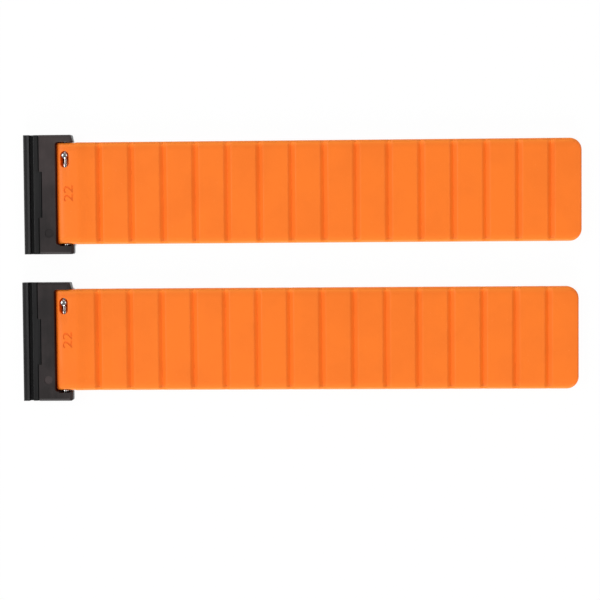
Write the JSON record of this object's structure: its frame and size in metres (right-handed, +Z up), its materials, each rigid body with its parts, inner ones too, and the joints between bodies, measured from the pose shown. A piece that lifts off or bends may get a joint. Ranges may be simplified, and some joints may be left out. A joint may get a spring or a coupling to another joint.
{
  "type": "silicone watch strap",
  "caption": "Silicone watch strap in halves, lying flat: grooved orange blocks that curl, magnets inside, quick-release spring bars and black slide-in connectors.",
  "frame": {"origin": "middle of the pair's outline on the surface that it lies on", "axes": "+X along the straps from the connectors to the free ends, +Y from half b to half a, +Z up, out of the wrist side"},
  "size_m": [0.1218, 0.0582, 0.0035],
  "materials": {
    "orange_silicone": "matte moulded silicone",
    "black_plastic": "satin moulded plastic",
    "polished_steel": "polished stainless steel",
    "nickel_plate": "nickel plated magnet"
  },
  "bodies": {
    "connector_a": {"connector_a": "black_plastic"},
    "lug_a": {"strap_lug_a": "orange_silicone", "bar_tube_a": "polished_steel", "bar_fixed_tip_a": "polished_steel", "release_spring_a": "polished_steel"},
    "pin_a": {"release_pin_a": "polished_steel"},
    "block_a_01": {"strap_block_a_01": "orange_silicone"},
    "block_a_02": {"strap_block_a_02": "orange_silicone"},
    "block_a_03": {"strap_block_a_03": "orange_silicone"},
    "block_a_04": {"strap_block_a_04": "orange_silicone"},
    "block_a_05": {"strap_block_a_05": "orange_silicone"},
    "block_a_06": {"strap_block_a_06": "orange_silicone"},
    "block_a_07": {"strap_block_a_07": "orange_silicone", "magnet_a_07": "nickel_plate"},
    "block_a_08": {"strap_block_a_08": "orange_silicone", "magnet_a_08": "nickel_plate"},
    "block_a_09": {"strap_block_a_09": "orange_silicone", "magnet_a_09": "nickel_plate"},
    "block_a_10": {"strap_block_a_10": "orange_silicone", "magnet_a_10": "nickel_plate"},
    "block_a_11": {"strap_block_a_11": "orange_silicone", "magnet_a_11": "nickel_plate"},
    "block_a_12": {"strap_block_a_12": "orange_silicone", "magnet_a_12": "nickel_plate"},
    "block_a_13": {"strap_block_a_13": "orange_silicone", "magnet_a_13": "nickel_plate"},
    "block_a_14": {"strap_block_a_14": "orange_silicone", "magnet_a_14": "nickel_plate"},
    "block_a_15": {"strap_block_a_15": "orange_silicone", "magnet_a_15": "nickel_plate"},
    "connector_b": {"connector_b": "black_plastic"},
    "lug_b": {"strap_lug_b": "orange_silicone", "bar_tube_b": "polished_steel", "bar_fixed_tip_b": "polished_steel", "release_spring_b": "polished_steel"},
    "pin_b": {"release_pin_b": "polished_steel"},
    "block_b_01": {"strap_block_b_01": "orange_silicone"},
    "block_b_02": {"strap_block_b_02": "orange_silicone"},
    "block_b_03": {"strap_block_b_03": "orange_silicone"},
    "block_b_04": {"strap_block_b_04": "orange_silicone"},
    "block_b_05": {"strap_block_b_05": "orange_silicone"},
    "block_b_06": {"strap_block_b_06": "orange_silicone"},
    "block_b_07": {"strap_block_b_07": "orange_silicone", "magnet_b_07": "nickel_plate"},
    "block_b_08": {"strap_block_b_08": "orange_silicone", "magnet_b_08": "nickel_plate"},
    "block_b_09": {"strap_block_b_09": "orange_silicone", "magnet_b_09": "nickel_plate"},
    "block_b_10": {"strap_block_b_10": "orange_silicone", "magnet_b_10": "nickel_plate"},
    "block_b_11": {"strap_block_b_11": "orange_silicone", "magnet_b_11": "nickel_plate"},
    "block_b_12": {"strap_block_b_12": "orange_silicone", "magnet_b_12": "nickel_plate"},
    "block_b_13": {"strap_block_b_13": "orange_silicone", "magnet_b_13": "nickel_plate"},
    "block_b_14": {"strap_block_b_14": "orange_silicone", "magnet_b_14": "nickel_plate"},
    "block_b_15": {"strap_block_b_15": "orange_silicone", "magnet_b_15": "nickel_plate"}
  },
  "joints": [
    {"name": "strap_pivot_a", "type": "hinge", "parent": "connector_a", "child": "lug_a", "pos_m": [-0.05112, 0.01607, 0.0017], "axis": [0, -1, 0], "range_deg": [-30, 75]},
    {"name": "release_slide_a", "type": "slide", "parent": "lug_a", "child": "pin_a", "axis": [0, -1, 0], "range_m": [0, 0.0015], "stiffness_N_per_m": 300, "springref_m": -0.002, "deforming": ["release_spring_a"]},
    {"name": "strap_curl_a", "type": "hinge", "parent": "lug_a", "child": "block_a_01", "pos_m": [-0.04412, 0.01631, 0.0014], "axis": [0, -1, 0], "range_deg": [-8, 16], "stiffness_Nm_per_rad": 0.008},
    {"name": "groove_bend_a_02", "type": "hinge", "parent": "block_a_01", "child": "block_a_02", "pos_m": [-0.03712, 0.01631, 0.0014], "axis": [0, -1, 0], "range_deg": [-8, 16], "stiffness_Nm_per_rad": 0.008},
    {"name": "groove_bend_a_03", "type": "hinge", "parent": "block_a_02", "child": "block_a_03", "pos_m": [-0.03012, 0.01631, 0.0014], "axis": [0, -1, 0], "range_deg": [-8, 16], "stiffness_Nm_per_rad": 0.008},
    {"name": "groove_bend_a_04", "type": "hinge", "parent": "block_a_03", "child": "block_a_04", "pos_m": [-0.02312, 0.01631, 0.0014], "axis": [0, -1, 0], "range_deg": [-8, 16], "stiffness_Nm_per_rad": 0.008},
    {"name": "groove_bend_a_05", "type": "hinge", "parent": "block_a_04", "child": "block_a_05", "pos_m": [-0.01613, 0.01631, 0.0014], "axis": [0, -1, 0], "range_deg": [-8, 16], "stiffness_Nm_per_rad": 0.008},
    {"name": "groove_bend_a_06", "type": "hinge", "parent": "block_a_05", "child": "block_a_06", "pos_m": [-0.00912, 0.01631, 0.0014], "axis": [0, -1, 0], "range_deg": [-8, 16], "stiffness_Nm_per_rad": 0.008},
    {"name": "groove_bend_a_07", "type": "hinge", "parent": "block_a_06", "child": "block_a_07", "pos_m": [-0.00213, 0.01631, 0.0014], "axis": [0, -1, 0], "range_deg": [-8, 16], "stiffness_Nm_per_rad": 0.008},
    {"name": "groove_bend_a_08", "type": "hinge", "parent": "block_a_07", "child": "block_a_08", "pos_m": [0.00487, 0.01631, 0.0014], "axis": [0, -1, 0], "range_deg": [-8, 16], "stiffness_Nm_per_rad": 0.008},
    {"name": "groove_bend_a_09", "type": "hinge", "parent": "block_a_08", "child": "block_a_09", "pos_m": [0.01188, 0.01631, 0.0014], "axis": [0, -1, 0], "range_deg": [-8, 16], "stiffness_Nm_per_rad": 0.008},
    {"name": "groove_bend_a_10", "type": "hinge", "parent": "block_a_09", "child": "block_a_10", "pos_m": [0.01887, 0.01631, 0.0014], "axis": [0, -1, 0], "range_deg": [-8, 16], "stiffness_Nm_per_rad": 0.008},
    {"name": "groove_bend_a_11", "type": "hinge", "parent": "block_a_10", "child": "block_a_11", "pos_m": [0.02587, 0.01631, 0.0014], "axis": [0, -1, 0], "range_deg": [-8, 16], "stiffness_Nm_per_rad": 0.008},
    {"name": "groove_bend_a_12", "type": "hinge", "parent": "block_a_11", "child": "block_a_12", "pos_m": [0.03288, 0.01631, 0.0014], "axis": [0, -1, 0], "range_deg": [-8, 16], "stiffness_Nm_per_rad": 0.008},
    {"name": "groove_bend_a_13", "type": "hinge", "parent": "block_a_12", "child": "block_a_13", "pos_m": [0.03988, 0.01631, 0.0014], "axis": [0, -1, 0], "range_deg": [-8, 16], "stiffness_Nm_per_rad": 0.008},
    {"name": "groove_bend_a_14", "type": "hinge", "parent": "block_a_13", "child": "block_a_14", "pos_m": [0.04688, 0.01631, 0.0014], "axis": [0, -1, 0], "range_deg": [-8, 16], "stiffness_Nm_per_rad": 0.008},
    {"name": "groove_bend_a_15", "type": "hinge", "parent": "block_a_14", "child": "block_a_15", "pos_m": [0.05387, 0.01631, 0.0014], "axis": [0, -1, 0], "range_deg": [-8, 16], "stiffness_Nm_per_rad": 0.008},
    {"name": "pair_lift", "type": "slide", "parent": "connector_a", "child": "connector_b", "axis": [0, 0, 1], "range_m": [0, 0.02]},
    {"name": "strap_pivot_b", "type": "hinge", "parent": "connector_b", "child": "lug_b", "pos_m": [-0.05178, -0.01607, 0.0017], "axis": [0, -1, 0], "range_deg": [-30, 75]},
    {"name": "release_slide_b", "type": "slide", "parent": "lug_b", "child": "pin_b", "axis": [0, -1, 0], "range_m": [0, 0.0015], "stiffness_N_per_m": 300, "springref_m": -0.002, "deforming": ["release_spring_b"]},
    {"name": "strap_curl_b", "type": "hinge", "parent": "lug_b", "child": "block_b_01", "pos_m": [-0.04478, -0.01568, 0.0014], "axis": [0, -1, 0], "range_deg": [-8, 16], "stiffness_Nm_per_rad": 0.008},
    {"name": "groove_bend_b_02", "type": "hinge", "parent": "block_b_01", "child": "block_b_02", "pos_m": [-0.03778, -0.01568, 0.0014], "axis": [0, -1, 0], "range_deg": [-8, 16], "stiffness_Nm_per_rad": 0.008},
    {"name": "groove_bend_b_03", "type": "hinge", "parent": "block_b_02", "child": "block_b_03", "pos_m": [-0.03078, -0.01568, 0.0014], "axis": [0, -1, 0], "range_deg": [-8, 16], "stiffness_Nm_per_rad": 0.008},
    {"name": "groove_bend_b_04", "type": "hinge", "parent": "block_b_03", "child": "block_b_04", "pos_m": [-0.02378, -0.01568, 0.0014], "axis": [0, -1, 0], "range_deg": [-8, 16], "stiffness_Nm_per_rad": 0.008},
    {"name": "groove_bend_b_05", "type": "hinge", "parent": "block_b_04", "child": "block_b_05", "pos_m": [-0.01678, -0.01568, 0.0014], "axis": [0, -1, 0], "range_deg": [-8, 16], "stiffness_Nm_per_rad": 0.008},
    {"name": "groove_bend_b_06", "type": "hinge", "parent": "block_b_05", "child": "block_b_06", "pos_m": [-0.00978, -0.01568, 0.0014], "axis": [0, -1, 0], "range_deg": [-8, 16], "stiffness_Nm_per_rad": 0.008},
    {"name": "groove_bend_b_07", "type": "hinge", "parent": "block_b_06", "child": "block_b_07", "pos_m": [-0.00278, -0.01568, 0.0014], "axis": [0, -1, 0], "range_deg": [-8, 16], "stiffness_Nm_per_rad": 0.008},
    {"name": "groove_bend_b_08", "type": "hinge", "parent": "block_b_07", "child": "block_b_08", "pos_m": [0.00422, -0.01568, 0.0014], "axis": [0, -1, 0], "range_deg": [-8, 16], "stiffness_Nm_per_rad": 0.008},
    {"name": "groove_bend_b_09", "type": "hinge", "parent": "block_b_08", "child": "block_b_09", "pos_m": [0.01123, -0.01568, 0.0014], "axis": [0, -1, 0], "range_deg": [-8, 16], "stiffness_Nm_per_rad": 0.008},
    {"name": "groove_bend_b_10", "type": "hinge", "parent": "block_b_09", "child": "block_b_10", "pos_m": [0.01823, -0.01568, 0.0014], "axis": [0, -1, 0], "range_deg": [-8, 16], "stiffness_Nm_per_rad": 0.008},
    {"name": "groove_bend_b_11", "type": "hinge", "parent": "block_b_10", "child": "block_b_11", "pos_m": [0.02523, -0.01568, 0.0014], "axis": [0, -1, 0], "range_deg": [-8, 16], "stiffness_Nm_per_rad": 0.008},
    {"name": "groove_bend_b_12", "type": "hinge", "parent": "block_b_11", "child": "block_b_12", "pos_m": [0.03222, -0.01568, 0.0014], "axis": [0, -1, 0], "range_deg": [-8, 16], "stiffness_Nm_per_rad": 0.008},
    {"name": "groove_bend_b_13", "type": "hinge", "parent": "block_b_12", "child": "block_b_13", "pos_m": [0.03923, -0.01568, 0.0014], "axis": [0, -1, 0], "range_deg": [-8, 16], "stiffness_Nm_per_rad": 0.008},
    {"name": "groove_bend_b_14", "type": "hinge", "parent": "block_b_13", "child": "block_b_14", "pos_m": [0.04623, -0.01568, 0.0014], "axis": [0, -1, 0], "range_deg": [-8, 16], "stiffness_Nm_per_rad": 0.008},
    {"name": "groove_bend_b_15", "type": "hinge", "parent": "block_b_14", "child": "block_b_15", "pos_m": [0.05323, -0.01568, 0.0014], "axis": [0, -1, 0], "range_deg": [-8, 16], "stiffness_Nm_per_rad": 0.008}
  ],
  "couplings": [
    {"joint": "groove_bend_a_02", "follows": "strap_curl_a", "ratio": 1},
    {"joint": "groove_bend_a_03", "follows": "strap_curl_a", "ratio": 1},
    {"joint": "groove_bend_a_04", "follows": "strap_curl_a", "ratio": 1},
    {"joint": "groove_bend_a_05", "follows": "strap_curl_a", "ratio": 1},
    {"joint": "groove_bend_a_06", "follows": "strap_curl_a", "ratio": 1},
    {"joint": "groove_bend_a_07", "follows": "strap_curl_a", "ratio": 1},
    {"joint": "groove_bend_a_08", "follows": "strap_curl_a", "ratio": 1},
    {"joint": "groove_bend_a_09", "follows": "strap_curl_a", "ratio": 1},
    {"joint": "groove_bend_a_10", "follows": "strap_curl_a", "ratio": 1},
    {"joint": "groove_bend_a_11", "follows": "strap_curl_a", "ratio": 1},
    {"joint": "groove_bend_a_12", "follows": "strap_curl_a", "ratio": 1},
    {"joint": "groove_bend_a_13", "follows": "strap_curl_a", "ratio": 1},
    {"joint": "groove_bend_a_14", "follows": "strap_curl_a", "ratio": 1},
    {"joint": "groove_bend_a_15", "follows": "strap_curl_a", "ratio": 1},
    {"joint": "groove_bend_b_02", "follows": "strap_curl_b", "ratio": 1},
    {"joint": "groove_bend_b_03", "follows": "strap_curl_b", "ratio": 1},
    {"joint": "groove_bend_b_04", "follows": "strap_curl_b", "ratio": 1},
    {"joint": "groove_bend_b_05", "follows": "strap_curl_b", "ratio": 1},
    {"joint": "groove_bend_b_06", "follows": "strap_curl_b", "ratio": 1},
    {"joint": "groove_bend_b_07", "follows": "strap_curl_b", "ratio": 1},
    {"joint": "groove_bend_b_08", "follows": "strap_curl_b", "ratio": 1},
    {"joint": "groove_bend_b_09", "follows": "strap_curl_b", "ratio": 1},
    {"joint": "groove_bend_b_10", "follows": "strap_curl_b", "ratio": 1},
    {"joint": "groove_bend_b_11", "follows": "strap_curl_b", "ratio": 1},
    {"joint": "groove_bend_b_12", "follows": "strap_curl_b", "ratio": 1},
    {"joint": "groove_bend_b_13", "follows": "strap_curl_b", "ratio": 1},
    {"joint": "groove_bend_b_14", "follows": "strap_curl_b", "ratio": 1},
    {"joint": "groove_bend_b_15", "follows": "strap_curl_b", "ratio": 1}
  ]
}
